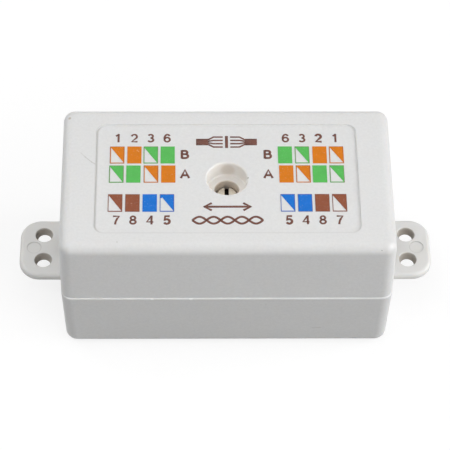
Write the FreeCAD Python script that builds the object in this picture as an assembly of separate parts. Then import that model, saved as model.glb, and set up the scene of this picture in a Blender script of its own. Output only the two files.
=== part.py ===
import FreeCAD, Part
import math
import os

# Junction box that joins two four-pair data cables end to end.
# Millimetres. +X runs along the box from cable to cable, +Y to the back, +Z up.
# The origin is the centre of the footprint, on the surface that the base stands on.

# Outer shape of the two housing halves, measured at the parting plane. The base's front
# stands out of the cover's by the setback, as a narrow ledge
body_length = 66.0
body_depth = 36.8
base_height = 16.1
cover_height = 15.5
corner_radius = 2.3
cover_draft = 0.54
base_draft = 1.75
top_edge_radius = 1.95
bottom_edge_radius = 2.4
parting_edge_radius = 0.3
cover_setback = 0.27
wall = 2.0
floor_thickness = 2.2
cavity_corner_radius = 1.2
cavity_edge_radius = 0.8

# Sunk label panel on the cover
panel_length = 52.2
panel_depth = 27.6
panel_corner_radius = 2.0
panel_sink = 0.3
panel_edge_radius = 0.2
roof_thickness = 2.0

# Interlocking rims of the halves
rim_height = 1.5
rim_thickness = 1.0
rim_gap = 0.15
rim_top_gap = 0.2

# Screw well, read down from the panel
well_radius = 4.0
well_depth = 3.7
well_rim_round = 0.4
well_foot_bevel = 0.25
head_bore_radius = 2.4
head_bore_bevel = 0.15
head_below_well = 1.6
boss_wall = 1.4
boss_gap = 0.2
gusset_thickness = 1.0
gusset_reach = 2.0
gusset_height = 5.0

# Cover screw
head_gap = 0.12
head_height = 1.9
head_bevel = 0.35
slot_width = 0.8
slot_depth = 1.0
shank_radius = 1.3
shank_length = 17.0
tip_length = 1.4
tip_radius = 0.2
shank_pass_gap = 0.3
shank_grip_gap = 0.05
post_wall = 2.0
post_draft = 0.5
pilot_floor = 1.0

# Ears for the cable ties, at the ends of the base
ear_reach = 9.3
ear_width = 14.5
ear_top = 8.8
ear_thickness = 2.0
ear_corner_radius = 4.25
ear_top_round = 0.9
ear_bottom_round = 0.95
tie_hole_radius = 1.72
tie_hole_foot_radius = 1.4
tie_hole_spacing = 6.4
tie_hole_from_tip = 4.9
tie_hole_bevel = 0.15
tie_hole_straight = 0.8
pin_mark_radius = 1.45
pin_mark_sink = 0.15
pin_mark_from_tip = 2.9

# Cable entries through the end walls, open to the parting plane
entry_width = 6.8
entry_sill = 0.2
entry_rim_relief = 1.0

# Circuit board and what carries it
board_thickness = 1.6
board_drop = 0.8
board_end_gap = 1.4
board_corner_radius = 1.0
post_hole_gap = 0.4
rest_thickness = 1.2
rest_length = 4.0
rest_inset = 1.0
peg_radius = 1.0
peg_gap = 0.15
peg_rise = 0.7
peg_inset = 2.2
peg_tip_radius = 0.6
peg_seat_width = 0.8
clip_width = 5.0
clip_thickness = 1.2
clip_gap = 0.15
clip_wall_gap = 0.7
clip_nose = 0.9
clip_nose_height = 1.6
clip_nose_blunt = 0.3

# Punch-down terminal blocks, four ways each, and their contacts
ways = 4
way_pitch = 3.8
block_end_wall = 1.0
block_depth = 5.2
block_height = 12.0
block_edge_margin = 0.8
block_end_margin = 3.8
wire_slot_width = 0.9
wire_slot_depth = 6.0
lead_in_width = 2.3
lead_in_depth = 1.3
tooth_bevel = 1.1
tooth_bevel_length = 2.2
contact_width = 2.5
contact_thickness = 0.4
contact_top_drop = 2.0
contact_gap = 0.1
fork_slot_width = 0.35
fork_slot_depth = 4.4
fork_lead_in = 0.7
tail_width = 0.7
tail_below_board = 1.4
tail_gap = 0.15

# Printed colour code on the panel
ink_thickness = 0.05
cell_width = 2.83
cell_height = 4.35
cell_pitch = 3.39
upper_rows_from_centre = 10.3
lower_row_from_centre = 10.46
row_b_bottom = 3.86
row_a_bottom = -1.04
lower_row_bottom = -8.34
outline_width = 0.13
underline_width = 0.2
colour_shift = {"orange": 0.07, "green": -0.07, "blue": 0.0, "brown": 0.0}

# How far a cutter runs past the face it opens, and how deep a fused piece starts in its carrier
overrun = 1.0
root_depth = 0.5

# Share of a quarter arc's radius from its corner to its middle, along each side
arc_middle = 1 - math.sqrt(0.5)

# Levels and half sizes that follow from the values above
total_height = base_height + cover_height
panel_level = total_height - panel_sink
roof_level = panel_level - roof_thickness
half_length = body_length / 2
half_depth = body_depth / 2
well_floor = panel_level - well_depth
head_top = well_floor - head_below_well
head_seat = head_top - head_height
head_radius = head_bore_radius - head_gap
board_top = ear_top - board_drop
board_bottom = board_top - board_thickness
post_radius = shank_radius + shank_grip_gap + post_wall
ear_tip = half_length + ear_reach
tie_hole_x = ear_tip - tie_hole_from_tip
pin_mark_x = ear_tip - pin_mark_from_tip


def base_inset(z):
    """How far the drafted base wall has moved in at height z."""
    return (base_height - z) * math.tan(math.radians(base_draft))


board_half_length = half_length - wall - base_inset(board_bottom) - board_end_gap
clip_back_y = half_depth - wall - base_inset(floor_thickness) - clip_wall_gap
clip_face_y = clip_back_y - clip_thickness
board_half_depth = clip_face_y - clip_gap
block_length = ways * way_pitch + 2 * block_end_wall
block_mid_x = board_half_length - block_end_margin - block_length / 2
block_mid_y = board_half_depth - block_edge_margin - block_depth / 2
peg_x = board_half_length - peg_inset
peg_y = board_half_depth - peg_inset


def vec(x, y, z):
    return FreeCAD.Vector(x, y, z)


def block(x0, x1, y0, y1, z0, z1):
    """Box between two corners."""
    return Part.makeBox(x1 - x0, y1 - y0, z1 - z0, vec(x0, y0, z0))


def cylinder(radius, z0, z1, x=0.0, y=0.0):
    return Part.makeCylinder(radius, z1 - z0, vec(x, y, z0))


def outline(half_x, half_y, radius, z):
    """Rounded rectangle centred on the Z axis."""
    turn = radius * arc_middle
    edges = []
    corners = [(1, 1), (-1, 1), (-1, -1), (1, -1)]
    for number, (sx, sy) in enumerate(corners):
        on_x_side = vec(sx * half_x, sy * (half_y - radius), z)
        on_y_side = vec(sx * (half_x - radius), sy * half_y, z)
        middle = vec(sx * (half_x - turn), sy * (half_y - turn), z)
        first, last = on_x_side, on_y_side
        if sx != sy:
            first, last = on_y_side, on_x_side
        if number:
            edges.append(Part.makeLine(previous, first))
        else:
            start = first
        edges.append(Part.Arc(first, middle, last).toShape())
        previous = last
    edges.append(Part.makeLine(previous, start))
    return Part.Wire(edges)


def prism(half_x, half_y, radius, z0, z1):
    return Part.Face(outline(half_x, half_y, radius, z0)).extrude(vec(0, 0, z1 - z0))


def flat_face(points):
    """Flat face inside a closed ring of points."""
    return Part.Face(Part.makePolygon(points + points[:1]))


def drafted(half_x, half_y, radius, z_wide, z_narrow, draft):
    """Block with rounded upright edges, whose flat walls lean in from z_wide to z_narrow."""
    height = abs(z_narrow - z_wide)
    inset = height * math.tan(math.radians(draft))
    narrow_x = half_x - inset
    narrow_y = half_y - inset
    wedge = Part.makeWedge(-half_x, 0, -half_y, -narrow_y, -narrow_x,
                           half_x, height, half_y, narrow_y, narrow_x)
    wedge.rotate(vec(0, 0, 0), vec(1, 0, 0), math.copysign(90, z_narrow - z_wide))
    wedge.translate(vec(0, 0, z_wide))
    upright = [edge for edge in wedge.Edges if edge.BoundBox.ZLength > inset]
    return wedge.makeFillet(radius, upright)


def edges_at(shape, z):
    """Edges that lie in the horizontal plane at height z."""
    found = []
    for edge in shape.Edges:
        box = edge.BoundBox
        if abs(box.ZMin - z) < 1e-5 and abs(box.ZMax - z) < 1e-5:
            found.append(edge)
    return found


def round_level(shape, z, radius):
    return shape.makeFillet(radius, edges_at(shape, z))


def turned(points, centre_x=0.0, centre_y=0.0):
    """Solid of revolution about a vertical line. A point is (r, z), or (r, z, r_mid, z_mid)
    where an arc through the middle point leads to it."""
    edges = []
    last = vec(points[0][0], 0, points[0][1])
    first = last
    for point in points[1:]:
        here = vec(point[0], 0, point[1])
        if len(point) == 4:
            edges.append(Part.Arc(last, vec(point[2], 0, point[3]), here).toShape())
        else:
            edges.append(Part.makeLine(last, here))
        last = here
    edges.append(Part.makeLine(last, first))
    solid = Part.Face(Part.Wire(edges)).revolve(vec(0, 0, 0), vec(0, 0, 1), 360)
    solid.translate(vec(centre_x, centre_y, 0))
    return solid


def profile(points, y0, y1):
    """Polygon of (x, z) points extruded along Y."""
    corners = [vec(x, y0, z) for x, z in points]
    return flat_face(corners).extrude(vec(0, y1 - y0, 0))


def well_cutter():
    """Stepped hole from the panel down to the parting plane, with rounded rims."""
    above = total_height + overrun
    rim = well_rim_round
    foot = well_foot_bevel
    bore = head_bore_bevel
    pass_radius = shank_radius + shank_pass_gap
    return turned([
        (0, above),
        (well_radius + rim, above),
        (well_radius + rim, panel_level),
        (well_radius, panel_level - rim, well_radius + rim * arc_middle, panel_level - rim * arc_middle),
        (well_radius, well_floor + foot),
        (well_radius - foot, well_floor),
        (head_bore_radius + bore, well_floor),
        (head_bore_radius, well_floor - bore),
        (head_bore_radius, head_seat),
        (pass_radius, head_seat),
        (pass_radius, base_height - overrun),
        (0, base_height - overrun),
    ])


def cover_boss():
    """Tube around the screw well, with gussets under the roof."""
    wide = well_radius + boss_wall
    slim = head_bore_radius + boss_wall
    step = well_floor - boss_wall
    foot = base_height + boss_gap
    boss = turned([
        (0, roof_level + root_depth),
        (wide, roof_level + root_depth),
        (wide, step),
        (slim, step - (wide - slim)),
        (slim, foot),
        (0, foot),
    ])
    half = gusset_thickness / 2
    outer = wide + gusset_reach
    low = roof_level - gusset_height
    high = roof_level + root_depth
    gusset = profile([(0, high), (outer, high), (outer, roof_level), (wide, low), (0, low)], -half, half)
    for turn in (45, 135, 225, 315):
        rib = gusset.copy()
        rib.rotate(vec(0, 0, 0), vec(0, 0, 1), turn)
        boss = boss.fuse(rib)
    return boss


def rim_outline_prism(gap, z0, z1):
    """Upright prism on the outer outline of the base's rim, grown by a gap."""
    outward = rim_thickness - wall + gap
    return prism(half_length + outward, half_depth + outward, corner_radius + outward, z0, z1)


def make_cover():
    outer = drafted(half_length, half_depth - cover_setback / 2, corner_radius,
                    base_height, total_height, cover_draft)
    outer.translate(vec(0, cover_setback / 2, 0))
    outer = round_level(outer, total_height, top_edge_radius)
    cavity = drafted(half_length - wall, half_depth - wall, cavity_corner_radius,
                     base_height, roof_level, cover_draft)
    cavity = round_level(cavity, roof_level, cavity_edge_radius)
    shell = outer.cut(cavity)
    groove = rim_outline_prism(rim_gap, base_height - overrun, base_height + rim_height + rim_top_gap)
    shell = shell.cut(groove)
    sunk = prism(panel_length / 2, panel_depth / 2, panel_corner_radius, panel_level, total_height + overrun)
    sunk = round_level(sunk, panel_level, panel_edge_radius)
    shell = shell.cut(sunk)
    return shell.fuse(cover_boss()).cut(well_cutter())


def ear_plate():
    """Ear at the +X end, from inside the wall out to its rounded tip."""
    half = ear_width / 2
    root = half_length - wall
    radius = ear_corner_radius
    bend = radius * arc_middle
    z = ear_top - ear_thickness
    corners = [vec(root, -half, z), vec(ear_tip - radius, -half, z), vec(ear_tip, radius - half, z),
               vec(ear_tip, half - radius, z), vec(ear_tip - radius, half, z), vec(root, half, z)]
    edges = [
        Part.makeLine(corners[0], corners[1]),
        Part.Arc(corners[1], vec(ear_tip - bend, bend - half, z), corners[2]).toShape(),
        Part.makeLine(corners[2], corners[3]),
        Part.Arc(corners[3], vec(ear_tip - bend, half - bend, z), corners[4]).toShape(),
        Part.makeLine(corners[4], corners[5]),
        Part.makeLine(corners[5], corners[0]),
    ]
    plate = Part.Face(Part.Wire(edges)).extrude(vec(0, 0, ear_thickness))
    for level, radius in ((ear_top, ear_top_round), (z, ear_bottom_round)):
        rim = [edge for edge in edges_at(plate, level) if edge.BoundBox.XMax > root + 1e-3]
        plate = plate.makeFillet(radius, rim)
    return plate


def ear_cuts():
    """Tie holes that narrow downwards, with softened rims, and the round mould-pin mark between them."""
    low = ear_top - ear_thickness
    hole = tie_hole_radius
    foot = tie_hole_foot_radius
    soft = tie_hole_bevel
    cuts = []
    for side in (-1, 1):
        cuts.append(turned([
            (0, ear_top + overrun),
            (hole + soft, ear_top + overrun),
            (hole + soft, ear_top),
            (hole, ear_top - soft),
            (hole, ear_top - tie_hole_straight),
            (foot, low + soft),
            (foot + soft, low),
            (foot + soft, low - overrun),
            (0, low - overrun),
        ], tie_hole_x, side * tie_hole_spacing / 2))
    cuts.append(cylinder(pin_mark_radius, ear_top - pin_mark_sink, ear_top + overrun, pin_mark_x))
    return cuts


def entry_cutter():
    """Slot through the +X end wall: round at the bottom, open at the parting plane."""
    radius = entry_width / 2
    centre = ear_top + entry_sill + radius
    inside = half_length - wall - base_inset(0) - overrun
    reach = half_length + overrun - inside
    tube = Part.makeCylinder(radius, reach, vec(inside, 0, centre), vec(1, 0, 0))
    slot = block(inside, inside + reach, -radius, radius, centre, base_height + overrun)
    relief = radius + entry_rim_relief
    rim_top = base_height + rim_height
    rim_break = block(inside, inside + reach, -relief, relief, base_height, rim_top + overrun)
    return tube.fuse(slot).fuse(rim_break)


def mirror_x(shape):
    return shape.mirror(vec(0, 0, 0), vec(1, 0, 0))


def board_carriers():
    """Pads, pegs and snap clips that stand on the floor of the base."""
    pieces = []
    low = floor_thickness - root_depth
    for sx in (-1, 1):
        for sy in (-1, 1):
            x = sx * (board_half_length - rest_inset - rest_length / 2)
            y = sy * (board_half_depth - rest_inset - rest_thickness / 2)
            pieces.append(block(x - rest_length / 2, x + rest_length / 2,
                                y - rest_thickness / 2, y + rest_thickness / 2, low, board_bottom))
    for side in (-1, 1):
        x, y = side * peg_x, -side * peg_y
        seat = cylinder(peg_radius + peg_seat_width, low, board_bottom, x, y)
        tip = Part.makeCone(peg_radius, peg_tip_radius, peg_rise, vec(x, y, board_top))
        pieces.append(seat.fuse(cylinder(peg_radius, low, board_top, x, y)).fuse(tip))
    pieces.append(snap_clip())
    pieces.append(snap_clip().mirror(vec(0, 0, 0), vec(0, 1, 0)))
    return pieces


def snap_clip():
    """Hook at the back edge of the board, with a sloped nose over its top face."""
    low = floor_thickness - root_depth
    catch = board_top + clip_gap
    top = catch + clip_nose_height
    nose = board_half_depth - clip_nose
    points = [(clip_face_y, low), (clip_back_y, low), (clip_back_y, top), (clip_face_y, top),
              (nose, catch + clip_nose_blunt), (nose, catch), (clip_face_y, catch)]
    corners = [vec(-clip_width / 2, y, z) for y, z in points]
    return flat_face(corners).extrude(vec(clip_width, 0, 0))


def centre_post():
    """Drafted screw post with four gussets whose tops carry the board."""
    low = floor_thickness - root_depth
    flare = (base_height - low) * math.tan(math.radians(post_draft))
    post = Part.makeCone(post_radius + flare, post_radius, base_height - low, vec(0, 0, low))
    reach = post_radius + flare + post_hole_gap + gusset_reach
    half = gusset_thickness / 2
    post = post.fuse(block(-reach, reach, -half, half, low, board_bottom))
    return post.fuse(block(-half, half, -reach, reach, low, board_bottom))


def make_base():
    outer = drafted(half_length, half_depth, corner_radius, base_height, 0, base_draft)
    outer = round_level(outer, 0, bottom_edge_radius)
    outer = round_level(outer, base_height, parting_edge_radius)
    ear = ear_plate()
    outer = outer.fuse(ear).fuse(mirror_x(ear))
    tray = outer.fuse(rim_outline_prism(0, base_height - root_depth, base_height + rim_height))
    mouth = base_height + rim_height + overrun
    thinned = wall + base_inset(mouth)
    cavity = drafted(half_length - thinned, half_depth - thinned, cavity_corner_radius,
                     mouth, floor_thickness, base_draft)
    cavity = round_level(cavity, floor_thickness, cavity_edge_radius)
    tray = tray.cut(cavity)
    for cutter in ear_cuts() + [entry_cutter()]:
        tray = tray.cut(cutter).cut(mirror_x(cutter))
    tray = tray.fuse(centre_post())
    for piece in board_carriers():
        tray = tray.fuse(piece)
    pilot = cylinder(shank_radius + shank_grip_gap, pilot_floor, base_height + overrun)
    return tray.cut(pilot)


def make_cover_screw():
    tip = head_seat - shank_length
    screw = turned([
        (0, head_top),
        (head_radius - head_bevel, head_top),
        (head_radius, head_top - head_bevel),
        (head_radius, head_seat),
        (shank_radius, head_seat),
        (shank_radius, tip + tip_length),
        (tip_radius, tip),
        (0, tip),
    ])
    half = slot_width / 2
    slot = block(-half, half, -head_bore_radius, head_bore_radius, head_top - slot_depth, head_top + overrun)
    return screw.cut(slot)


def make_circuit_board():
    board = prism(board_half_length, board_half_depth, board_corner_radius, board_bottom, board_top)
    low = board_bottom - overrun
    high = board_top + overrun
    slot_x = tail_width / 2 + tail_gap
    slot_y = contact_thickness / 2 + tail_gap
    flare = (base_height - board_bottom) * math.tan(math.radians(post_draft))
    board = board.cut(cylinder(post_radius + flare + post_hole_gap, low, high))
    for side in (-1, 1):
        board = board.cut(cylinder(peg_radius + peg_gap, low, high, side * peg_x, -side * peg_y))
    for end in (-1, 1):
        for row in (-1, 1):
            for x in way_positions(end):
                y = row * block_mid_y
                board = board.cut(block(x - slot_x, x + slot_x, y - slot_y, y + slot_y, low, high))
    return board


def way_positions(end):
    """X of the four ways of the blocks at one end, from left to right."""
    first = end * block_mid_x - (ways - 1) * way_pitch / 2
    return [first + number * way_pitch for number in range(ways)]


def make_terminal_block(end, row):
    """Comb of teeth with a wire slot for each way, and a pocket under each slot."""
    half = block_length / 2
    mid_x = end * block_mid_x
    mid_y = row * block_mid_y
    top = board_top + block_height
    points = [(mid_x - half, board_top), (mid_x - half, top)]
    mouth = lead_in_width / 2
    slot = wire_slot_width / 2
    throat = top - lead_in_depth
    low = top - wire_slot_depth
    for x in way_positions(end):
        points += [(x - mouth, top), (x - slot, throat), (x - slot, low),
                   (x + slot, low), (x + slot, throat), (x + mouth, top)]
    points += [(mid_x + half, top), (mid_x + half, board_top)]
    comb = profile(points, mid_y - block_depth / 2, mid_y + block_depth / 2)
    for side in (-1, 1):
        comb = comb.cut(tooth_bevel_cutter(mid_x, half, mid_y, side, top))
    pocket_x = contact_width / 2 + contact_gap
    pocket_y = contact_thickness / 2 + contact_gap
    pocket_top = top - contact_top_drop + contact_gap
    for x in way_positions(end):
        comb = comb.cut(block(x - pocket_x, x + pocket_x, mid_y - pocket_y, mid_y + pocket_y,
                              board_top - overrun, pocket_top))
    return comb


def tooth_bevel_cutter(mid_x, half, mid_y, side, top):
    """Wedge that thins the teeth towards their tips on one long side."""
    face = mid_y + side * block_depth / 2
    tip = face - side * tooth_bevel
    beyond = face + side * overrun
    low = top - tooth_bevel_length
    corners = [(beyond, top + overrun), (tip, top + overrun), (tip, top), (face, low), (beyond, low)]
    ring = [vec(mid_x - half - overrun, y, z) for y, z in corners]
    return flat_face(ring).extrude(vec(2 * (half + overrun), 0, 0))


def make_contact(x, row):
    """Flat fork that cuts through the wire's insulation, with a tail through the board."""
    top = board_top + block_height - contact_top_drop
    half, slot, tail = contact_width / 2, fork_slot_width / 2, tail_width / 2
    low = board_bottom - tail_below_board
    points = [(x - tail, low), (x - tail, board_top), (x - half, board_top), (x - half, top),
              (x - fork_lead_in, top), (x - slot, top - fork_lead_in), (x - slot, top - fork_slot_depth),
              (x + slot, top - fork_slot_depth), (x + slot, top - fork_lead_in), (x + fork_lead_in, top),
              (x + half, top), (x + half, board_top), (x + tail, board_top), (x + tail, low)]
    mid_y = row * block_mid_y
    return profile(points, mid_y - contact_thickness / 2, mid_y + contact_thickness / 2)


def full_cell(x, y):
    return block(x, x + cell_width, y, y + cell_height, panel_level, panel_level + ink_thickness)


def half_cell(x, y):
    """Cell whose lower left triangle is left bare inside a thin outline."""
    left = x + outline_width
    low = y + underline_width
    right = x + cell_width - outline_width
    top = y + cell_height - 2 * outline_width
    corners = [vec(left, low, panel_level), vec(right, low, panel_level), vec(left, top, panel_level)]
    window = flat_face(corners).extrude(vec(0, 0, ink_thickness))
    return full_cell(x, y).cut(window)


def printed_rows():
    """Each row as (left edge, bottom edge, colours from left to right, marked half or full)."""
    span = (ways - 1) * cell_pitch + cell_width
    upper_left = -upper_rows_from_centre - span
    lower_left = -lower_row_from_centre - span
    row_b = ["half orange", "full orange", "half green", "full green"]
    row_a = ["half green", "full green", "half orange", "full orange"]
    lower = ["half brown", "full brown", "full blue", "half blue"]
    return [
        (upper_left, row_b_bottom, row_b),
        (upper_left, row_a_bottom, row_a),
        (lower_left, lower_row_bottom, lower),
        (upper_rows_from_centre, row_b_bottom, row_b[::-1]),
        (upper_rows_from_centre, row_a_bottom, row_a[::-1]),
        (lower_row_from_centre, lower_row_bottom, lower[::-1]),
    ]


def make_print(colour):
    """All cells of one ink, as separate thin solids on the panel."""
    cells = []
    for left, bottom, marks in printed_rows():
        for number, mark in enumerate(marks):
            extent, ink = mark.split()
            if ink != colour:
                continue
            x = left + number * cell_pitch + colour_shift[colour]
            cells.append(full_cell(x, bottom) if extent == "full" else half_cell(x, bottom))
    return Part.makeCompound(cells)


def write_part(node, shape):
    shape.exportStep("parts/" + node + ".step")
    print(node, "solids", len(shape.Solids), "valid", shape.isValid(), "volume", round(shape.Volume, 2))


def main():
    os.makedirs("parts", exist_ok=True)
    write_part("cover", make_cover())
    write_part("base", make_base())
    write_part("cover_screw", make_cover_screw())
    write_part("circuit_board", make_circuit_board())
    ends = {"left": -1, "right": 1}
    back_wires = {"left": (1, 2, 3, 6), "right": (6, 3, 2, 1)}
    front_wires = {"left": (7, 8, 4, 5), "right": (5, 4, 8, 7)}
    for end, sign in ends.items():
        for row, side, wires in (("back", 1, back_wires[end]), ("front", -1, front_wires[end])):
            write_part("terminal_block_" + end + "_" + row, make_terminal_block(sign, side))
            for x, wire in zip(way_positions(sign), wires):
                write_part("contact_" + end + "_" + str(wire), make_contact(x, side))
    for colour in colour_shift:
        write_part("print_" + colour, make_print(colour))


main()
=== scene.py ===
import bmesh
import bpy
import math
from mathutils import Matrix, Vector


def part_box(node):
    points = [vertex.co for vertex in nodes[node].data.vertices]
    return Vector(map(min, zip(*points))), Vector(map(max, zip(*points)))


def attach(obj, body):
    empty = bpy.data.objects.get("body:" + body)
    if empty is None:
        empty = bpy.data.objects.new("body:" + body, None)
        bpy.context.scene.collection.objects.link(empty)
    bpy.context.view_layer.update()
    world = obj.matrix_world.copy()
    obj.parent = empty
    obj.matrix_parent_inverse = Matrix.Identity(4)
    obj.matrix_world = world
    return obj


# Looks of a small white junction box that joins two data cables.
# Metres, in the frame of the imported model: +X along the box, +Y to the back, +Z up.

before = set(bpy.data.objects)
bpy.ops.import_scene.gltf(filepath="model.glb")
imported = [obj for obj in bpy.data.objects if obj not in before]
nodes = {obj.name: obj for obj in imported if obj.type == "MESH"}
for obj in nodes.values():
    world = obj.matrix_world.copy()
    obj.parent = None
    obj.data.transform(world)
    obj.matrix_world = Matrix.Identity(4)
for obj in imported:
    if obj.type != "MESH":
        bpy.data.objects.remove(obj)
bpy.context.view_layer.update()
MM = 0.001

# Numerals and letters printed on the cover's panel
PANEL_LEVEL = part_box("print_orange")[0].z
INK_HEIGHT = 0.05 * MM
NUMERAL_HEIGHT = 2.15 * MM
NUMERAL_STROKE = 0.41 * MM
BOLD_STROKE = 0.52 * MM
NUMERAL_PITCH = 3.3 * MM
LETTER_HEIGHT = 2.15 * MM
LETTER_STROKE = 0.5 * MM
BACK_NUMERALS_FOOT = 9.35 * MM
FRONT_NUMERALS_FOOT = -11.47 * MM
LETTER_B_FOOT = 5.1 * MM
LETTER_A_FOOT = 0.1 * MM
# Each row: name, numerals, the one in a heavier stroke, the row's middle, its foot
NUMERAL_ROWS = [
    ("numerals_left_back", "1236", "", -16.8 * MM, BACK_NUMERALS_FOOT),
    ("numerals_left_front", "7845", "5", -16.8 * MM, FRONT_NUMERALS_FOOT),
    ("numerals_right_back", "6321", "2", 16.85 * MM, BACK_NUMERALS_FOOT),
    ("numerals_right_front", "5487", "5", 17.0 * MM, FRONT_NUMERALS_FOOT),
]
LETTER_COLUMNS = [("letters_left", -8.4 * MM), ("letters_right", 8.15 * MM)]

# Cells of the colour code, as the printed solids have them, and the brown lines round some of them.
# Each lined row: its first cell's left and front, and the cells with a line.
CELL_WIDTH = 2.83 * MM
CELL_HEIGHT = 4.35 * MM
CELL_PITCH = 3.39 * MM
CELL_LINE = 0.11 * MM
CELL_LINE_RISE = 0.02 * MM
SINGLE_ROW_LEFT = -23.46 * MM
SINGLE_ROW_FRONT = -8.34 * MM
LINED_CELLS = [
    (-23.3 * MM, 3.86 * MM, (0, 2)),
    (-23.3 * MM, -1.04 * MM, (0, 2)),
    (SINGLE_ROW_LEFT, SINGLE_ROW_FRONT, (0, 1, 3)),
    (10.3 * MM, 3.86 * MM, (1, 3)),
    (10.3 * MM, -1.04 * MM, (1, 3)),
    (10.46 * MM, SINGLE_ROW_FRONT, (0, 1, 2, 3)),
]
# Blue ink that has run in one cell: the cell's number, its line from the cell's back left corner, its width
INK_RUN_CELL = 3
INK_RUN_LINE = ((0.22 * MM, -0.4 * MM), (0.28 * MM, -0.95 * MM))
INK_RUN_WIDTH = 0.34 * MM

# Symbols. Cable joint: two jackets, each with four cores that meet the other's at a bar.
JOINT_MIDDLE = 9.4 * MM
JACKET_START = 6.1 * MM
JACKET_END = 3.7 * MM
CORE_BEND = 2.6 * MM
CORE_END = 0.75 * MM
CORE_SPREAD = (-1.3 * MM, -0.43 * MM, 0.43 * MM, 1.3 * MM)
CORE_SPREAD_AT_JACKET = 0.45
CORE_STROKE = 0.38 * MM
JACKET_STROKE = 1.7 * MM
JOINT_BAR_HALF = 1.55 * MM
JOINT_BAR_STROKE = 0.6 * MM
# Arrow both ways
ARROW_MIDDLE = -7.1 * MM
ARROW_REACH = 4.6 * MM
ARROW_HEAD = (1.5 * MM, 0.9 * MM)
# Twisted pair
PAIR_MIDDLE = -10.45 * MM
PAIR_HALF = 6.9 * MM
PAIR_SWING = 0.85 * MM
PAIR_HALF_TURNS = 5
PAIR_STEPS = 60
SYMBOL_STROKE = 0.5 * MM

# Camera
CAMERA_PLACE = Vector((-8.326, -273.958, 370.528)) * MM
CAMERA_PITCH = math.radians(52.274)
CAMERA_YAW = math.radians(1.697)
CAMERA_ROLL = math.radians(1.268)
FOCAL_PIXELS = 2201.92
PHOTO_WIDTH = 450
SENSOR_WIDTH = 36.0

# Soft lamps on a dome round the box: name, degrees from the front and above the floor, watts, size
LAMP_DISTANCE = 0.75
LAMP_AIM = Vector((0, 0, 0.02))
LAMPS = [
    ("softbox_front", 0, 30, 0.42, 0.5),
    ("softbox_front_low", 0, 15, 0.41, 0.5),
    ("softbox_front_right", 45, 30, 1.54, 0.45),
    ("softbox_front_right_high", 45, 60, 0.27, 0.5),
    ("softbox_front_left", -45, 30, 0.07, 0.04),
    ("softbox_front_left_high", -45, 60, 0.99, 0.5),
    ("softbox_right_low", 90, 20, 2.54, 0.5),
    ("softbox_right_high", 90, 45, 0.80, 0.5),
    ("softbox_left_high", -90, 45, 0.92, 0.5),
    ("softbox_back_left", -135, 30, 1.20, 0.5),
    ("softbox_back_high", 180, 70, 0.73, 0.5),
    ("softbox_back", 180, 30, 0.18, 0.5),
    ("softbox_below", 20, -60, 3.0, 0.5),
]
WORLD_LIGHT = 0.01

# Floor: a hair over the underside, so that the lamp below lights the underside and nothing else
FLOOR_HALF = 3.0
FLOOR_LIFT = 0.01 * MM
FLOOR_GREY = (0.28, 0.28, 0.28, 1)
FLOOR_GLOW = 0.77
PURE_WHITE = (1, 1, 1, 1)

# Colours, linear
HOUSING_WHITE = (0.78, 0.78, 0.775, 1)
BASE_WHITE = (0.722, 0.722, 0.716, 1)
BLOCK_WHITE = (0.66, 0.66, 0.60, 1)
# Painted light with a warmer tint: the ears are painted lighter and creamier than the rest of the base
EAR_PAINTED_LIGHT_CREAM = (0.815, 0.808, 0.788, 1)
# Painted light with a warmer tint: the screw well's walls are painted lighter and creamier than the cover
WELL_PAINTED_LIGHT_CREAM = (0.89, 0.865, 0.83, 1)
# Painted shade on the middle of the screw well's back wall
WELL_BACK_PAINTED_SHADE = (0.76, 0.70, 0.64, 1)
# Painted shade, browner, in the bore round the screw head
HEAD_BORE_PAINTED_SHADE = (0.74, 0.66, 0.58, 1)
# Painted shade on the walls of the cable-tie holes
TIE_HOLE_PAINTED_SHADE = (0.48, 0.44, 0.39, 1)
# Painted shade in a fine line at the foot of the panel's step
PANEL_STEP_SHADE_GREY = (0.36, 0.34, 0.32, 1)
# Painted shade in a ring round the ejector-pin marks
PIN_MARK_PAINTED_SHADE = (0.40, 0.38, 0.35, 1)
# Painted shade: a darker, brownish colour laid into the plastics' inner corners and gaps by an
# ambient-occlusion mask
HOUSING_CORNER_SHADE = (0.42, 0.37, 0.30, 1)
SPECK_BLACK = (0.2, 0.19, 0.17, 1)
SMUDGE_BROWN = (0.56, 0.52, 0.45, 1)
SMUDGE_GREY = (0.42, 0.40, 0.36, 1)
# Painted highlight along the parting line between cover and base
PARTING_HIGHLIGHT_WHITE = (0.95, 0.95, 0.93, 1)
SCREW_STEEL = (0.60, 0.56, 0.48, 1)
CONTACT_TIN = (0.55, 0.53, 0.48, 1)
# Painted shade in the metals' inner corners and gaps
METAL_CORNER_SHADE = (0.05, 0.045, 0.04, 1)
# Painted shade, near black, in the screw head's slot
SLOT_PAINTED_SHADE = (0.012, 0.011, 0.009, 1)
BOARD_GREEN = (0.02, 0.13, 0.045, 1)
BOARD_WEAVE_GREEN = (0.05, 0.22, 0.08, 1)
INK_COLOURS = {
    "orange": (0.72, 0.205, 0.008, 1),
    "green": (0.105, 0.51, 0.105, 1),
    "blue": (0.009, 0.175, 0.66, 1),
    "brown": (0.285, 0.087, 0.043, 1),
}
WORN_ORANGE = (0.78, 0.36, 0.13, 1)
WORN_BROWN = (0.42, 0.2, 0.13, 1)
LETTERING_BROWN = (0.18, 0.075, 0.055, 1)

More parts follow.
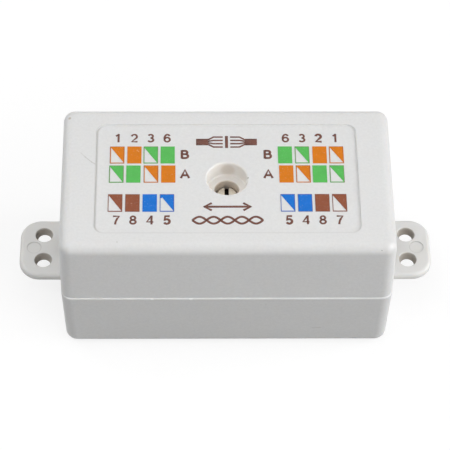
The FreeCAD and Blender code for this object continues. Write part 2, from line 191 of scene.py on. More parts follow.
# Places of the marks on the plastics, which the shaders paint
EAR_ROOT = 33.2 * MM
EAR_CLEAR = 34.2 * MM
WELL_AXIS = (0, 0, 0)
WELL_WALL_RADIUS = 4.0 * MM
WELL_RIM_RADIUS = 4.4 * MM
HEAD_BORE_RADIUS = 2.45 * MM
HEAD_BORE_RIM_RADIUS = 2.6 * MM
TIE_HOLE_AXIS = (37.4 * MM, 3.2 * MM, 0)
TIE_HOLE_WALL_RADIUS = 1.74 * MM
TIE_HOLE_RIM_RADIUS = 1.87 * MM
PIN_MARK_AXIS = (39.4 * MM, 0, 0)
PIN_MARK_RADIUS = 1.42 * MM
PIN_MARK_LINE = 0.16 * MM
PANEL_STRAIGHT_HALF = (24.1 * MM, 11.8 * MM, 0)
PANEL_CORNER_RADIUS = 1.85 * MM
PANEL_LINE_WIDTH = 0.4 * MM
PANEL_LINE_SIDE_FADE = (-24.5 * MM, -26.0 * MM)
PANEL_LINE_BACK_FADE = (13.8 * MM, 13.0 * MM)
PARTING_LEVEL = 16.1 * MM
PARTING_BAND = 0.45 * MM
TOP_LEVEL = 31.6 * MM
SCRATCH_WIDTH = 0.16 * MM
# Start and Full of the painted shade in the screw's slot
SCREW_SLOT = (0.46 * MM, 0.4 * MM)

# Moulded plastic. Clouds are (scale, amount).
PLASTIC_IOR = 1.5
PLASTIC_COAT = 0.15
PLASTIC_COAT_ROUGHNESS = 0.1
PLASTIC_SCATTER = 0.35
PLASTIC_SCATTER_REDDENING = (1.0, 0.85, 0.7)
PLASTIC_SCATTER_DEPTH = 0.5 * MM
# Reach of the painted shade in the plastics' corners
PLASTIC_SHADE_REACH = 2.5 * MM
BROAD_CLOUDS = (70.0, 0.012)
CLOSE_CLOUDS = (1900.0, 0.035)
MOULD_GRAIN_SCALE = 2600.0
MOULD_GRAIN_STRENGTH = 0.12
GRAIN_DEPTH = 0.02 * MM
# Size of the patches along the painted parting-line highlight
HIGHLIGHT_PATCH_SCALE = 260.0

# Inks, metals and board
INK_CLOUDS = (900.0, 0.07)
INK_SHEEN = 0.2
INK_ROUGHNESS = (0.42, 0.55)
INK_GRAIN_STRENGTH = 0.15
PINHOLE_SCALE = 5200.0
PINHOLE_FADE = (0.66, 0.8)
PINHOLE_SHARE = 0.55
# Reach of the painted shade in the metals' corners
METAL_SHADE_REACH = 0.8 * MM
METAL_DULLNESS = 0.12
METAL_GRAIN_STRENGTH = 0.2
BOARD_CLOUDS = (300.0, 0.06)
BOARD_ROUGHNESS = (0.25, 0.4)
WEAVE_SCALE = 600.0
WEAVE_DISTORTION = 0.5
WEAVE_SHARE = 0.12
WEAVE_STRENGTH = 0.1

# Vector steps that give a number, places of the colour sockets in a Mix node, and a place with no height
NUMBER_STEPS = ("DISTANCE", "DOT_PRODUCT", "LENGTH")
MIX_UNDER, MIX_OVER, MIX_COLOUR = 6, 7, 2
LEVEL_ONLY = (1, 1, 0)


def add_node(tree, kind, **settings):
    node = tree.nodes.new(kind)
    for name, value in settings.items():
        setattr(node, name, value)
    return node


def feed(tree, term, socket):
    """Gives an input another node's output, or a plain number, place or colour."""
    if isinstance(term, bpy.types.NodeSocket):
        tree.links.new(term, socket)
    else:
        socket.default_value = term


def add_step(tree, operation, *terms, clamp=False):
    """Result of one step of arithmetic."""
    node = add_node(tree, "ShaderNodeMath", operation=operation, use_clamp=clamp)
    for number, term in enumerate(terms):
        feed(tree, term, node.inputs[number])
    return node.outputs[0]


def add_vector_step(tree, operation, first, second=None):
    """Result of one step with places."""
    node = add_node(tree, "ShaderNodeVectorMath", operation=operation)
    feed(tree, first, node.inputs[0])
    if second is not None:
        feed(tree, second, node.inputs["Scale" if operation == "SCALE" else 1])
    return node.outputs["Value" if operation in NUMBER_STEPS else "Vector"]


def add_fade(tree, value, start, full, low=0.0, high=1.0, smooth=False):
    """Number that goes from low to high while a value goes from start to full."""
    node = add_node(tree, "ShaderNodeMapRange", interpolation_type="SMOOTHSTEP" if smooth else "LINEAR")
    terms = {"Value": value, "From Min": start, "From Max": full, "To Min": low, "To Max": high}
    for label, term in terms.items():
        feed(tree, term, node.inputs[label])
    return node.outputs["Result"]


def add_clouds(tree, place, scale, detail, rough=0.5):
    """Number that changes at random over the surface, about 0.5."""
    node = add_node(tree, "ShaderNodeTexNoise")
    terms = {"Vector": place, "Scale": scale, "Detail": detail, "Roughness": rough}
    for label, term in terms.items():
        feed(tree, term, node.inputs[label])
    return node.outputs["Fac"]


def add_axes(tree, place):
    """The three numbers of a place, by the names X, Y and Z."""
    node = tree.nodes.new("ShaderNodeSeparateXYZ")
    tree.links.new(place, node.inputs["Vector"])
    return node.outputs


def away_from_upright(tree, given):
    """Distance from an upright axis or its images in X and Y."""
    quarter = add_vector_step(tree, "ABSOLUTE", given["Vector"])
    level = add_vector_step(tree, "MULTIPLY", quarter, LEVEL_ONLY)
    return add_vector_step(tree, "DISTANCE", level, given["Axis"])


def new_group(name, inputs, output):
    """Shader node group that puts out one number.

    inputs holds a name and a value for each number, and None as the value of a place. Gives the
    group, its inputs as they are read inside it, and the socket that takes its result.
    """
    tree = bpy.data.node_groups.new(name, "ShaderNodeTree")
    for label, value in inputs:
        kind = "NodeSocketVector" if value is None else "NodeSocketFloat"
        socket = tree.interface.new_socket(label, in_out="INPUT", socket_type=kind)
        if value is not None:
            socket.default_value = value
    tree.interface.new_socket(output, in_out="OUTPUT", socket_type="NodeSocketFloat")
    given = tree.nodes.new("NodeGroupInput").outputs
    return tree, given, tree.nodes.new("NodeGroupOutput").inputs[output]


def make_mottle():
    """Soft cloudy change of shade, as a factor around 1."""
    tree, given, result = new_group(
        "Mottle", [("Vector", None), ("Scale", 100.0), ("Amount", 0.02)], "Shade")
    cloud = add_clouds(tree, given["Vector"], given["Scale"], 3.0, 0.6)
    swing = add_step(tree, "MULTIPLY", add_step(tree, "SUBTRACT", cloud, 0.5), 4.0)
    feed(tree, add_step(tree, "MULTIPLY_ADD", swing, given["Amount"], 1.0), result)
    return tree


def make_fine_grain():
    """Height of a fine moulded grain, two sizes together."""
    tree, given, result = new_group("Fine Grain", [("Vector", None), ("Scale", 3000.0)], "Height")
    coarse = add_clouds(tree, given["Vector"], given["Scale"], 2.0)
    fine = add_clouds(tree, given["Vector"], add_step(tree, "MULTIPLY", given["Scale"], 2.7), 1.0)
    feed(tree, add_step(tree, "ADD", coarse, fine), result)
    return tree


def make_soft_dot():
    """Mask of a round spot at a place, 1 inside and 0 outside."""
    tree, given, result = new_group(
        "Soft Dot", [("Vector", None), ("Centre", None), ("Radius", 0.001)], "Mask")
    away = add_vector_step(tree, "DISTANCE", given["Vector"], given["Centre"])
    inner = add_step(tree, "MULTIPLY", given["Radius"], 0.45)
    feed(tree, add_fade(tree, away, inner, given["Radius"], 1.0, 0.0, smooth=True), result)
    return tree


def make_corner_shade():
    """Mask of inner corners and narrow gaps, for painted shade where ambient light is shut out."""
    tree, given, result = new_group("Corner Shade", [("Reach", 0.002), ("Strength", 0.5)], "Mask")
    open_sky = add_node(tree, "ShaderNodeAmbientOcclusion", samples=8)
    feed(tree, given["Reach"], open_sky.inputs["Distance"])
    closed = add_step(tree, "SUBTRACT", 1.0, open_sky.outputs["AO"])
    feed(tree, add_step(tree, "MULTIPLY", closed, given["Strength"]), result)
    return tree


def make_end_mask():
    """Mask of what lies past a distance from the middle along X, or within it where Full is under Start."""
    tree, given, result = new_group("End Mask", [("Vector", None), ("Start", 0.01), ("Full", 0.02)], "Mask")
    away = add_step(tree, "ABSOLUTE", add_axes(tree, given["Vector"])["X"])
    feed(tree, add_fade(tree, away, given["Start"], given["Full"], smooth=True), result)
    return tree


def make_level_band():
    """Mask of an uneven band round a height, for a painted highlight along the mould's parting line."""
    tree, given, result = new_group(
        "Level Band", [("Vector", None), ("Level", 0.01), ("Half Height", 0.0002)], "Mask")
    off = add_step(tree, "SUBTRACT", add_axes(tree, given["Vector"])["Z"], given["Level"])
    band = add_fade(tree, add_step(tree, "ABSOLUTE", off), 0.0, given["Half Height"], 1.0, 0.0)
    patches = add_clouds(tree, given["Vector"], HIGHLIGHT_PATCH_SCALE, 2.0)
    uneven = add_fade(tree, patches, 0.35, 0.6, 0.45)
    feed(tree, add_step(tree, "MULTIPLY", band, uneven), result)
    return tree


def make_ring_line():
    """Mask of a fine ring round upright axes that mirror each other in X and Y."""
    tree, given, result = new_group(
        "Ring Line", [("Vector", None), ("Axis", None), ("Radius", 0.001), ("Line Width", 0.0001)], "Mask")
    off = add_step(tree, "SUBTRACT", away_from_upright(tree, given), given["Radius"])
    feed(tree, add_fade(tree, add_step(tree, "ABSOLUTE", off), 0.0, given["Line Width"], 1.0, 0.0), result)
    return tree


def make_fine_scratch():
    """Mask of a thin straight scratch from a start along a run."""
    tree, given, result = new_group(
        "Fine Scratch", [("Vector", None), ("Start", None), ("Run", None), ("Line Width", 0.0001)], "Mask")
    offset = add_vector_step(tree, "SUBTRACT", given["Vector"], given["Start"])
    along = add_vector_step(tree, "DOT_PRODUCT", offset, given["Run"])
    length = add_vector_step(tree, "DOT_PRODUCT", given["Run"], given["Run"])
    share = add_step(tree, "DIVIDE", along, length, clamp=True)
    nearest = add_vector_step(tree, "SCALE", given["Run"], share)
    away = add_vector_step(tree, "DISTANCE", offset, nearest)
    feed(tree, add_fade(tree, away, 0.0, given["Line Width"], 1.0, 0.0), result)
    return tree


def make_panel_step_shade():
    """Mask of painted shade along the foot of the panel's rounded step, fainter to the right and the back.
    """
    tree, given, result = new_group(
        "Panel Step Shade",
        [("Vector", None), ("Straight Half", None), ("Corner Radius", 0.002),
         ("Line Width", 0.0003), ("Faint", 0.3)], "Mask")
    quarter = add_vector_step(tree, "ABSOLUTE", given["Vector"])
    past = add_vector_step(tree, "SUBTRACT", quarter, given["Straight Half"])
    outside = add_vector_step(tree, "MAXIMUM", past, (0, 0, 0))
    reach = add_vector_step(tree, "LENGTH", add_vector_step(tree, "MULTIPLY", outside, LEVEL_ONLY))
    away = add_step(tree, "ABSOLUTE", add_step(tree, "SUBTRACT", reach, given["Corner Radius"]))
    line = add_fade(tree, away, 0.0, given["Line Width"], 1.0, 0.0, smooth=True)
    axes = add_axes(tree, given["Vector"])
    side = add_fade(tree, axes["X"], *PANEL_LINE_SIDE_FADE, given["Faint"])
    front = add_fade(tree, axes["Y"], *PANEL_LINE_BACK_FADE)
    feed(tree, add_step(tree, "MULTIPLY", add_step(tree, "MULTIPLY", line, side), front), result)
    return tree


def make_bore_mask():
    """Mask of the bores round upright axes that mirror each other in X and Y, 1 inside and 0 outside."""
    tree, given, result = new_group(
        "Bore Mask",
        [("Vector", None), ("Axis", None), ("Wall Radius", 0.001), ("Rim Radius", 0.002)], "Mask")
    away = away_from_upright(tree, given)
    feed(tree, add_fade(tree, away, given["Wall Radius"], given["Rim Radius"], 1.0, 0.0), result)
    return tree


MOTTLE = make_mottle()
FINE_GRAIN = make_fine_grain()
SOFT_DOT = make_soft_dot()
CORNER_SHADE = make_corner_shade()
END_MASK = make_end_mask()
LEVEL_BAND = make_level_band()
RING_LINE = make_ring_line()
FINE_SCRATCH = make_fine_scratch()
PANEL_STEP_SHADE = make_panel_step_shade()
BORE_MASK = make_bore_mask()


def new_material(name):
    """Material with its Principled shader and the object's own coordinates."""
    material = bpy.data.materials.new(name)
    material.use_nodes = True
    tree = material.node_tree
    place = tree.nodes.new("ShaderNodeTexCoord").outputs["Object"]
    return material, tree, tree.nodes["Principled BSDF"], place


def add_group(tree, group, place=None, values=()):
    """Result of a node group with its own values, read at a place unless it needs none."""
    node = add_node(tree, "ShaderNodeGroup", node_tree=group)
    for label, value in values:
        node.inputs[label].default_value = value
    if place is not None:
        tree.links.new(place, node.inputs["Vector"])
    return node.outputs[0]


def add_mottle(tree, place, scale, amount):
    return add_group(tree, MOTTLE, place, [("Scale", scale), ("Amount", amount)])


def shaded_colour(tree, colour, factor):
    """A colour times a factor that changes over the surface."""
    return add_vector_step(tree, "SCALE", colour[:3], factor)


def mixed(tree, amount, under, over):
    """Colour that goes from under to over, a fixed colour, by a mask."""
    blend = add_node(tree, "ShaderNodeMix", data_type="RGBA")
    feed(tree, amount, blend.inputs["Factor"])
    feed(tree, under, blend.inputs[MIX_UNDER])
    feed(tree, over, blend.inputs[MIX_OVER])
    return blend.outputs[MIX_COLOUR]


def spotted(tree, place, paint, spots):
    """Colour with soft round spots, each given as (centre in mm, radius in mm, colour)."""
    for centre, radius, shade in spots:
        values = [("Centre", [value * MM for value in centre]), ("Radius", radius * MM)]
        paint = mixed(tree, add_group(tree, SOFT_DOT, place, values), paint, shade)
    return paint


def bumped(tree, shader, height, strength):
    bump = add_node(tree, "ShaderNodeBump")
    feed(tree, strength, bump.inputs["Strength"])
    feed(tree, GRAIN_DEPTH, bump.inputs["Distance"])
    feed(tree, height, bump.inputs["Height"])
    feed(tree, bump.outputs["Normal"], shader.inputs["Normal"])


def grained(tree, shader, place, scale, strength):
    bumped(tree, shader, add_group(tree, FINE_GRAIN, place, [("Scale", scale)]), strength)


def varied_roughness(tree, shader, factor, low, high):
    """Roughness that runs between two values with a factor near 1."""
    feed(tree, add_fade(tree, factor, 0.9, 1.1, low, high), shader.inputs["Roughness"])


def make_moulded_plastic(name, colour, rough, corner_shade, marks=(), spots=()):
    """White moulded plastic: cloudy shade, fine grain, painted shade in the corners, wider marks and single
    specks.

    Each mark is (mask group, its values, colour, amount).
    Each spot is (centre in mm, radius in mm, colour).
    """
    material, tree, shader, place = new_material(name)
    shader.inputs["IOR"].default_value = PLASTIC_IOR
    shader.inputs["Coat Weight"].default_value = PLASTIC_COAT
    shader.inputs["Coat Roughness"].default_value = PLASTIC_COAT_ROUGHNESS
    shader.inputs["Subsurface Weight"].default_value = PLASTIC_SCATTER
    shader.inputs["Subsurface Radius"].default_value = PLASTIC_SCATTER_REDDENING
    shader.inputs["Subsurface Scale"].default_value = PLASTIC_SCATTER_DEPTH
    broad = add_mottle(tree, place, *BROAD_CLOUDS)
    close = add_mottle(tree, place, *CLOSE_CLOUDS)
    paint = shaded_colour(tree, colour, add_step(tree, "MULTIPLY", broad, close))
    # Painted shade: the colour darkens where ambient light is shut out
    corner = add_group(tree, CORNER_SHADE, None, [("Reach", PLASTIC_SHADE_REACH), ("Strength", corner_shade)])
    paint = mixed(tree, corner, paint, HOUSING_CORNER_SHADE)
    for group, values, shade, amount in marks:
        share = add_step(tree, "MULTIPLY", add_group(tree, group, place, values), amount)
        paint = mixed(tree, share, paint, shade)
    feed(tree, spotted(tree, place, paint, spots), shader.inputs["Base Color"])
    varied_roughness(tree, shader, close, rough - 0.04, rough + 0.04)
    grained(tree, shader, place, MOULD_GRAIN_SCALE, MOULD_GRAIN_STRENGTH)
    return material


def make_ink(name, colour, specks=()):
    """Pad-printed ink: a little uneven, with pinholes and single worn specks that show the plastic."""
    material, tree, shader, place = new_material(name)
    shader.inputs["Specular IOR Level"].default_value = INK_SHEEN
    cover = add_mottle(tree, place, *INK_CLOUDS)
    pinholes = add_fade(tree, add_clouds(tree, place, PINHOLE_SCALE, 1.0), *PINHOLE_FADE, 0.0, PINHOLE_SHARE)
    paint = mixed(tree, pinholes, shaded_colour(tree, colour, cover), HOUSING_WHITE)
    feed(tree, spotted(tree, place, paint, specks), shader.inputs["Base Color"])
    varied_roughness(tree, shader, cover, *INK_ROUGHNESS)
    grained(tree, shader, place, MOULD_GRAIN_SCALE, INK_GRAIN_STRENGTH)
    return material


def make_metal(name, colour, rough, mottle_scale, corner_shade, slot=None):
    """Plated metal with a dull, uneven finish and painted shade in the corners.

    slot holds the Start and Full of an end mask that paints shade into the screw's slot.
    """
    material, tree, shader, place = new_material(name)
    shader.inputs["Metallic"].default_value = 1.0
    dull = add_mottle(tree, place, mottle_scale, METAL_DULLNESS)
    # Painted shade: the colour darkens where ambient light is shut out
    corner = add_group(tree, CORNER_SHADE, None, [("Reach", METAL_SHADE_REACH), ("Strength", corner_shade)])
    paint = mixed(tree, corner, shaded_colour(tree, colour, dull), METAL_CORNER_SHADE)
    # Painted shade in the screw head's slot
    if slot:
        start, full = slot
        slot_shade = add_group(tree, END_MASK, place, [("Start", start), ("Full", full)])
        paint = mixed(tree, slot_shade, paint, SLOT_PAINTED_SHADE)
    feed(tree, paint, shader.inputs["Base Color"])
    varied_roughness(tree, shader, dull, rough - 0.08, rough + 0.12)
    grained(tree, shader, place, 5 * mottle_scale, METAL_GRAIN_STRENGTH)
    return material


def make_board_laminate(name):
    """Green solder mask over laminate, with the weave faintly showing."""
    material, tree, shader, place = new_material(name)
    cloud = add_mottle(tree, place, *BOARD_CLOUDS)
    weave = add_node(tree, "ShaderNodeTexWave")
    feed(tree, WEAVE_SCALE, weave.inputs["Scale"])
    feed(tree, WEAVE_DISTORTION, weave.inputs["Distortion"])
    feed(tree, place, weave.inputs["Vector"])
    faint = add_step(tree, "MULTIPLY", weave.outputs["Fac"], WEAVE_SHARE)
    paint = mixed(tree, faint, shaded_colour(tree, BOARD_GREEN, cloud), BOARD_WEAVE_GREEN)
    feed(tree, paint, shader.inputs["Base Color"])
    varied_roughness(tree, shader, cloud, *BOARD_ROUGHNESS)
    bumped(tree, shader, weave.outputs["Fac"], WEAVE_STRENGTH)
    return material


def bore_values(axis, wall_radius, rim_radius):
    return [("Axis", axis), ("Wall Radius", wall_radius), ("Rim Radius", rim_radius)]


def top_scratch(start, end):
    """Values of a scratch on the cover's top, from places in mm."""
    run = [(b - a) * MM for a, b in zip(start, end)]
    return [("Start", (start[0] * MM, start[1] * MM, TOP_LEVEL)), ("Run", (*run, 0)),
            ("Line Width", SCRATCH_WIDTH)]


COVER_SPOTS = (
    ((29.77, -17.6, 30.87), 0.13, SPECK_BLACK),
    ((-21.49, -15.99, 31.6), 0.14, SMUDGE_GREY),
    # Painted shade on the screw well's back wall
    ((0.2, 4.0, 29.2), 2.0, WELL_BACK_PAINTED_SHADE),
    ((-31.6, 15.5, 31.5), 0.4, SMUDGE_BROWN),
    ((4.15, 0.2, 31.2), 0.25, SMUDGE_GREY),
)
BASE_SPOTS = (
    ((7.77, -18.2, 14.03), 0.2, SMUDGE_GREY),
    # Painted highlights on the parting line
    ((-14.9, -18.3, 16.0), 0.45, PARTING_HIGHLIGHT_WHITE),
    ((-7.17, -18.3, 16.0), 0.45, PARTING_HIGHLIGHT_WHITE),
)
COVER_MARKS = (
    # Painted light with a warmer tint on the screw well's walls
    (BORE_MASK, bore_values(WELL_AXIS, WELL_WALL_RADIUS, WELL_RIM_RADIUS), WELL_PAINTED_LIGHT_CREAM, 1.0),
    # Painted shade, browner, in the bore round the screw head
    (BORE_MASK, bore_values(WELL_AXIS, HEAD_BORE_RADIUS, HEAD_BORE_RIM_RADIUS), HEAD_BORE_PAINTED_SHADE, 1.0),
    (FINE_SCRATCH, top_scratch((-29.1, 6.35), (-28.2, 5.3)), SMUDGE_GREY, 0.35),
    (FINE_SCRATCH, top_scratch((-28.2, 5.3), (-26.9, 4.0)), SMUDGE_GREY, 0.55),
    (FINE_SCRATCH, top_scratch((-26.9, 4.0), (-25.9, 3.3)), SMUDGE_GREY, 0.55),
    # Painted shade in a fine line at the foot of the panel's step
    (PANEL_STEP_SHADE, [("Straight Half", PANEL_STRAIGHT_HALF), ("Corner Radius", PANEL_CORNER_RADIUS),
                  ("Line Width", PANEL_LINE_WIDTH), ("Faint", 0.3)], PANEL_STEP_SHADE_GREY, 0.6),
)
BASE_MARKS = (
    # Painted light with a warmer tint on the ears
    (END_MASK, [("Start", EAR_ROOT), ("Full", EAR_CLEAR)], EAR_PAINTED_LIGHT_CREAM, 1.0),
    # Painted shade on the walls of the cable-tie holes
    (BORE_MASK, bore_values(TIE_HOLE_AXIS, TIE_HOLE_WALL_RADIUS, TIE_HOLE_RIM_RADIUS), TIE_HOLE_PAINTED_SHADE, 1.0),
    # Painted shade in a ring round the ejector-pin marks
    (RING_LINE, [("Axis", PIN_MARK_AXIS), ("Radius", PIN_MARK_RADIUS), ("Line Width", PIN_MARK_LINE)],
     PIN_MARK_PAINTED_SHADE, 0.35),
    (FINE_SCRATCH, [("Start", (17.5 * MM, -18.0 * MM, 5.6 * MM)), ("Run", (1.5 * MM, 0, 0.12 * MM)),
                    ("Line Width", 0.3 * MM)], SMUDGE_GREY, 0.4),
    # Painted highlight along the parting line
    (LEVEL_BAND, [("Level", PARTING_LEVEL), ("Half Height", PARTING_BAND)], PARTING_HIGHLIGHT_WHITE, 0.8),
)
INK_SPECKS = {
    "orange": (((-17.85, 7.2, 31.35), 0.22, WORN_ORANGE), ((-17.6, 6.95, 31.35), 0.2, WORN_ORANGE)),
    "brown": (((-18.83, -6.32, 31.35), 0.2, WORN_BROWN),),
}

cover_plastic = make_moulded_plastic(
    "cover white plastic", HOUSING_WHITE, 0.34, 0.05, COVER_MARKS, COVER_SPOTS)
base_plastic = make_moulded_plastic(
    "base white plastic", BASE_WHITE, 0.38, 0.05, BASE_MARKS, BASE_SPOTS)
block_plastic = make_moulded_plastic("terminal off-white plastic", BLOCK_WHITE, 0.5, 0.3)
screw_steel = make_metal("zinc-plated screw steel", SCREW_STEEL, 0.48, 700.0, 0.15, SCREW_SLOT)
contact_tin = make_metal("tinned contact bronze", CONTACT_TIN, 0.3, 500.0, 0.6)
board_laminate = make_board_laminate("board laminate")
inks = {name: make_ink(name + " ink", colour, INK_SPECKS.get(name, ()))
        for name, colour in INK_COLOURS.items()}
lettering_ink = make_ink("brown lettering ink", LETTERING_BROWN)


def dress(start, material):
    """Gives a material to the nodes whose names start so."""
    for name in nodes:
        if name.startswith(start):
            for slot in nodes[name].material_slots:
                slot.material = material


dress("cover", cover_plastic)
dress("cover_screw", screw_steel)
dress("base", base_plastic)
dress("circuit_board", board_laminate)
dress("terminal_block", block_plastic)
dress("contact", contact_tin)
for name, ink in inks.items():
    dress("print_" + name, ink)


def finish_piece(name, mesh, material):
    """Puts a mesh into the scene as a piece that rides on the box."""
    mesh.materials.clear()
    mesh.materials.append(material)
    piece = bpy.data.objects.new(name, mesh)
    bpy.context.scene.collection.objects.link(piece)
    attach(piece, "root")
    return piece


def arc(centre_x, centre_y, half_width, half_height, start, end, steps=10):
    """Points on an ellipse, by angle in degrees, anticlockwise from +X."""
    points = []
    for step in range(steps + 1):
        angle = math.radians(start + (end - start) * step / steps)
        points.append((centre_x + half_width * math.cos(angle), centre_y + half_height * math.sin(angle)))
    return points


# Strokes of each character, in a box one unit high with its foot on 0. Each stroke is (points, closed).
CHARACTERS = {
    "1": [([(0.38, 0.0), (0.38, 1.0)], False), ([(0.37, 0.94), (0.28, 0.84), (0.13, 0.75)], False)],
    "2": [(arc(0.31, 0.68, 0.245, 0.255, 170, -30) + [(0.08, 0.065), (0.61, 0.065)], False)],
    "3": [(arc(0.30, 0.72, 0.215, 0.215, 155, -90), False),
          (arc(0.30, 0.285, 0.25, 0.22, 90, -155), False)],
    "4": [([(0.46, 0.98), (0.03, 0.29), (0.62, 0.29)], False), ([(0.46, 1.0), (0.46, 0.0)], False)],
    "5": [([(0.57, 0.935), (0.17, 0.935), (0.09, 0.50)] + arc(0.31, 0.33, 0.25, 0.265, 130, -155), False)],
    "6": [(arc(0.31, 0.32, 0.25, 0.255, 0, 350, 14), True),
          (arc(0.33, 0.49, 0.27, 0.445, 38, 192), False)],
    "7": [([(0.04, 0.935), (0.59, 0.935), (0.41, 0.66), (0.29, 0.36), (0.23, 0.0)], False)],
    "8": [(arc(0.31, 0.73, 0.205, 0.205, 0, 350, 14), True),
          (arc(0.31, 0.29, 0.25, 0.225, 0, 350, 14), True)],
    "A": [([(-0.02, 0.0), (0.36, 0.98), (0.74, 0.0)], False), ([(0.12, 0.34), (0.60, 0.34)], False)],
    "B": [([(0.08, 0.0), (0.08, 1.0)], False),
          ([(0.08, 0.935)] + arc(0.38, 0.735, 0.19, 0.20, 90, -90) + [(0.08, 0.535)], False),
          ([(0.38, 0.535)] + arc(0.42, 0.30, 0.22, 0.235, 90, -90) + [(0.08, 0.065)], False)],
}
CHARACTER_MIDDLE = 0.33


def strokes_of(text, middle, foot, pitch, height):
    """Strokes of a row of characters, centred on the middle. A space leaves its place bare."""
    strokes = []
    first = middle - (len(text) - 1) * pitch / 2
    for number, character in enumerate(text):
        left = first + number * pitch - CHARACTER_MIDDLE * height
        for points, closed in CHARACTERS.get(character, []):
            strokes.append(([(left + x * height, foot + y * height) for x, y in points], closed))
    return strokes


def ink_strokes(name, strokes, width, level=PANEL_LEVEL, ink=lettering_ink):
    """Raised lines of one width on the panel, as one piece."""
    line = bpy.data.curves.new(name, "CURVE")
    line.dimensions = "3D"
    line.bevel_depth = width / 2
    line.bevel_resolution = 1
    line.use_fill_caps = True
    for points, closed in strokes:
        spline = line.splines.new("POLY")
        spline.points.add(len(points) - 1)
        for knot, (x, y) in zip(spline.points, points):
            knot.co = (x, y, 0, 1)
        spline.use_cyclic_u = closed
    drawn = bpy.data.objects.new(name + "_line", line)
    mesh = bpy.data.meshes.new_from_object(drawn)
    bpy.data.objects.remove(drawn)
    flatten = Matrix.Diagonal((1, 1, 2 * INK_HEIGHT / width, 1))
    mesh.transform(Matrix.Translation((0, 0, level)) @ flatten)
    shape = bmesh.new()
    shape.from_mesh(mesh)
    bmesh.ops.remove_doubles(shape, verts=shape.verts, dist=1e-7)
    bmesh.ops.recalc_face_normals(shape, faces=shape.faces)
    shape.to_mesh(mesh)
    shape.free()
    return finish_piece(name, mesh, ink)


def make_lettering():
    for name, text, heavy, middle, foot in NUMERAL_ROWS:
        plain = "".join(" " if character in heavy else character for character in text)
        ink_strokes(name, strokes_of(plain, middle, foot, NUMERAL_PITCH, NUMERAL_HEIGHT), NUMERAL_STROKE)
        if heavy:
            bold = "".join(character if character in heavy else " " for character in text)
            strokes = strokes_of(bold, middle, foot, NUMERAL_PITCH, NUMERAL_HEIGHT)
            ink_strokes(name + "_bold", strokes, BOLD_STROKE)
    for name, middle in LETTER_COLUMNS:
        strokes = strokes_of("B", middle, LETTER_B_FOOT, 0, LETTER_HEIGHT)
        strokes += strokes_of("A", middle, LETTER_A_FOOT, 0, LETTER_HEIGHT)
        ink_strokes(name, strokes, LETTER_STROKE)


def make_cell_lines():
    """Thin brown lines printed round the half cells and the front row, a little over the colours."""
    lines = []
    for row_left, row_front, cells in LINED_CELLS:
        for number in cells:
            left = row_left + number * CELL_PITCH + CELL_LINE / 2
            right = left + CELL_WIDTH - CELL_LINE
            front = row_front + CELL_LINE / 2
            back = front + CELL_HEIGHT - CELL_LINE
            lines.append(([(left, front), (right, front), (right, back), (left, back)], True))
    ink_strokes("cell_lines", lines, CELL_LINE, PANEL_LEVEL + CELL_LINE_RISE)


def make_ink_run():
    """Blue ink that has filled the tip of one half cell's bare triangle."""
    left = SINGLE_ROW_LEFT + INK_RUN_CELL * CELL_PITCH
    back = SINGLE_ROW_FRONT + CELL_HEIGHT
    run = [([(left + x, back + y) for x, y in INK_RUN_LINE], False)]
    ink_strokes("blue_ink_run", run, INK_RUN_WIDTH, PANEL_LEVEL, inks["blue"])


def make_cable_joint_symbol():
    """Two cable ends whose cores meet: it fills the panel's upper middle."""
    cores = []
    jackets = []
    for side in (-1, 1):
        for spread in CORE_SPREAD:
            cores.append(([(side * JACKET_END, JOINT_MIDDLE + CORE_SPREAD_AT_JACKET * spread),
                           (side * CORE_BEND, JOINT_MIDDLE + spread),
                           (side * CORE_END, JOINT_MIDDLE + spread)], False))
        jackets.append(([(side * JACKET_START, JOINT_MIDDLE), (side * JACKET_END, JOINT_MIDDLE)], False))
    bar = [([(0, JOINT_MIDDLE - JOINT_BAR_HALF), (0, JOINT_MIDDLE + JOINT_BAR_HALF)], False)]
    ink_strokes("symbol_joint_cores", cores, CORE_STROKE)
    ink_strokes("symbol_joint_jackets", jackets, JACKET_STROKE)
    ink_strokes("symbol_joint_bar", bar, JOINT_BAR_STROKE)


def make_both_ways_symbol():
    """Arrow with a head at both ends, under the screw well."""
    length, half_width = ARROW_HEAD
    shaft = [([(-ARROW_REACH, ARROW_MIDDLE), (ARROW_REACH, ARROW_MIDDLE)], False)]
    heads = []
    for side in (-1, 1):
        tip = side * ARROW_REACH
        root = tip - side * length
        heads.append(([(root, ARROW_MIDDLE + half_width), (tip, ARROW_MIDDLE),
                       (root, ARROW_MIDDLE - half_width)], False))
    ink_strokes("symbol_both_ways_shaft", shaft, SYMBOL_STROKE)
    ink_strokes("symbol_both_ways_heads", heads, SYMBOL_STROKE)


def make_twisted_pair_symbol():
    """Two wires twisted round each other, along the panel's lower middle."""
    wires = []
    for phase in (0, math.pi):
        points = []
        for step in range(PAIR_STEPS + 1):
            share = step / PAIR_STEPS
            swing = math.sin(math.tau * PAIR_HALF_TURNS / 2 * share + phase)
            points.append((PAIR_HALF * (2 * share - 1), PAIR_MIDDLE + PAIR_SWING * swing))
        wires.append((points, False))
    ink_strokes("symbol_twisted_pair", wires, SYMBOL_STROKE)


make_lettering()
make_cell_lines()
make_ink_run()
make_cable_joint_symbol()
make_both_ways_symbol()
make_twisted_pair_symbol()


def seen_rays(tree):
    """1 for the rays that show a background: to the camera, in a reflection and through glass."""
    rays = tree.nodes.new("ShaderNodeLightPath").outputs
    direct = add_step(tree, "MAXIMUM", rays["Is Camera Ray"], rays["Is Glossy Ray"])
    return add_step(tree, "MAXIMUM", direct, rays["Is Transmission Ray"])


def chosen(tree, amount, first, second):
    """Shader that goes from the first to the second by a mask."""
    choice = tree.nodes.new("ShaderNodeMixShader")
    for number, term in enumerate((amount, first, second)):
        feed(tree, term, choice.inputs[number])
    return choice.outputs[0]


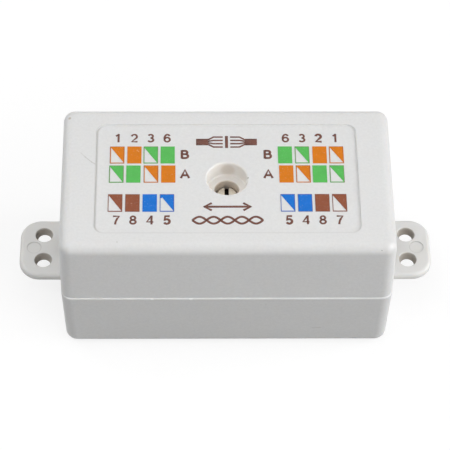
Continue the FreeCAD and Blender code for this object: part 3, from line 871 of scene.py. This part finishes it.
def make_stage():
    """Pale floor that shows the box's shadow from above and lets the underside be seen from below."""
    mesh = bpy.data.meshes.new("floor")
    shape = bmesh.new()
    bmesh.ops.create_grid(shape, x_segments=1, y_segments=1, size=FLOOR_HALF)
    bmesh.ops.translate(shape, verts=shape.verts, vec=(0, 0, FLOOR_LIFT))
    shape.to_mesh(mesh)
    shape.free()
    floor = bpy.data.objects.new("floor", mesh)
    bpy.context.scene.collection.objects.link(floor)
    material = bpy.data.materials.new("pale floor")
    material.use_nodes = True
    tree = material.node_tree
    tree.nodes.clear()
    output = tree.nodes.new("ShaderNodeOutputMaterial")
    paint = add_node(tree, "ShaderNodeBsdfDiffuse")
    feed(tree, FLOOR_GREY, paint.inputs["Color"])
    glow = add_node(tree, "ShaderNodeEmission")
    feed(tree, PURE_WHITE, glow.inputs["Color"])
    feed(tree, FLOOR_GLOW, glow.inputs["Strength"])
    both = tree.nodes.new("ShaderNodeAddShader")
    feed(tree, paint.outputs[0], both.inputs[0])
    feed(tree, glow.outputs[0], both.inputs[1])
    above = chosen(tree, seen_rays(tree), paint.outputs[0], both.outputs[0])
    clear = tree.nodes.new("ShaderNodeBsdfTransparent").outputs[0]
    face = tree.nodes.new("ShaderNodeNewGeometry")
    feed(tree, chosen(tree, face.outputs["Backfacing"], above, clear), output.inputs["Surface"])
    mesh.materials.append(material)


def make_world():
    """Backdrop that is seen as white and lights the box hardly at all."""
    world = bpy.data.worlds.new("studio")
    bpy.context.scene.world = world
    world.use_nodes = True
    tree = world.node_tree
    tree.nodes.clear()
    output = tree.nodes.new("ShaderNodeOutputWorld")
    shades = []
    for strength in (WORLD_LIGHT, 1.0):
        shade = tree.nodes.new("ShaderNodeBackground")
        feed(tree, PURE_WHITE, shade.inputs["Color"])
        feed(tree, strength, shade.inputs["Strength"])
        shades.append(shade.outputs[0])
    feed(tree, chosen(tree, seen_rays(tree), *shades), output.inputs["Surface"])


def make_softbox(name, azimuth, elevation, power, size):
    """Square soft lamp on the dome. Azimuth runs anticlockwise from the front, seen from above."""
    lamp = bpy.data.lights.new(name, "AREA")
    lamp.shape = "SQUARE"
    lamp.size = size
    lamp.energy = power
    holder = bpy.data.objects.new(name, lamp)
    turn = math.radians(azimuth)
    rise = math.radians(elevation)
    outward = Vector((math.sin(turn) * math.cos(rise), -math.cos(turn) * math.cos(rise), math.sin(rise)))
    holder.location = outward * LAMP_DISTANCE
    holder.rotation_euler = (LAMP_AIM - holder.location).to_track_quat("-Z", "Y").to_euler()
    bpy.context.scene.collection.objects.link(holder)


def make_camera():
    forward = Vector((math.sin(CAMERA_YAW) * math.cos(CAMERA_PITCH),
                      math.cos(CAMERA_YAW) * math.cos(CAMERA_PITCH), -math.sin(CAMERA_PITCH)))
    level = Vector((math.cos(CAMERA_YAW), -math.sin(CAMERA_YAW), 0))
    rise = level.cross(forward)
    right = level * math.cos(CAMERA_ROLL) + rise * math.sin(CAMERA_ROLL)
    up = rise * math.cos(CAMERA_ROLL) - level * math.sin(CAMERA_ROLL)
    lens = bpy.data.cameras.new("camera")
    lens.sensor_width = SENSOR_WIDTH
    lens.lens = SENSOR_WIDTH * FOCAL_PIXELS / PHOTO_WIDTH
    camera = bpy.data.objects.new("camera", lens)
    turn = Matrix((right, up, -forward)).transposed().to_4x4()
    camera.matrix_world = Matrix.Translation(CAMERA_PLACE) @ turn
    bpy.context.scene.collection.objects.link(camera)
    bpy.context.scene.camera = camera


make_stage()
make_world()
for lamp in LAMPS:
    make_softbox(*lamp)
make_camera()
bpy.context.scene.view_settings.view_transform = "Standard"
